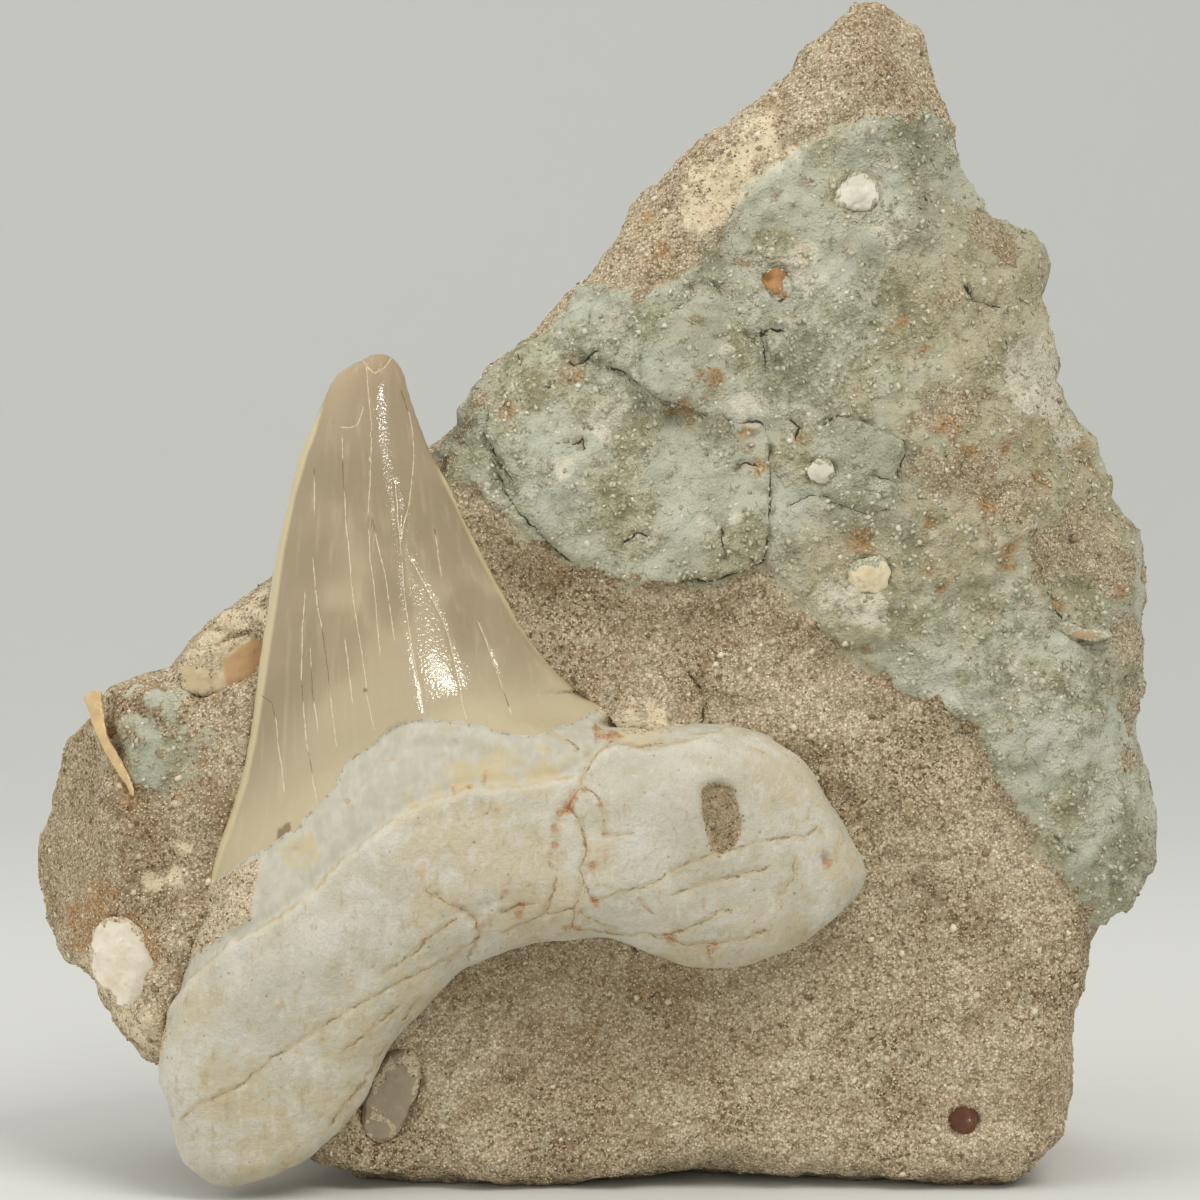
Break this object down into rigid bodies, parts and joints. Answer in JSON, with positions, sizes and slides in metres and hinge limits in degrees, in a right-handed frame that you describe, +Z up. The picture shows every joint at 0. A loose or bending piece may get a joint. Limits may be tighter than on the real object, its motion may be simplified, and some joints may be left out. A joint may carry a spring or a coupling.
{
  "type": "fossil shark tooth",
  "caption": "Fossil shark tooth on a standing slab of sand rock, with a curved two-lobed root, a blade-like crown and small bone and shell pieces set in the stone.",
  "frame": {"origin": "middle of the base of the whole piece's box, on the surface that it stands on", "axes": "+Z up, from the stone's flat foot to its point; -Y out of the face that shows the tooth; +X to the right as the face is looked at"},
  "size_m": [0.1036, 0.0424, 0.108],
  "materials": {
    "stone": "loose-grained sand rock with a skin of green marl",
    "tooth": "chalky cream root, polished taupe enamel",
    "bone": "porous, matt",
    "enamel": "glossy",
    "shell": "satin",
    "pebble": "matt",
    "nodule": "satin",
    "clast": "smooth, satin"
  },
  "bodies": {
    "root": {"stone": "stone", "shark_tooth": "tooth", "cream_bone": "bone", "white_bone": "bone", "amber_blade": "enamel", "shell_sliver": "shell", "cream_pebble": "pebble", "white_pebble": "pebble", "chalk_pebble": "pebble", "rust_nodule": "nodule", "brown_pellet": "nodule", "grey_clast": "clast"}
  },
  "joints": []
}
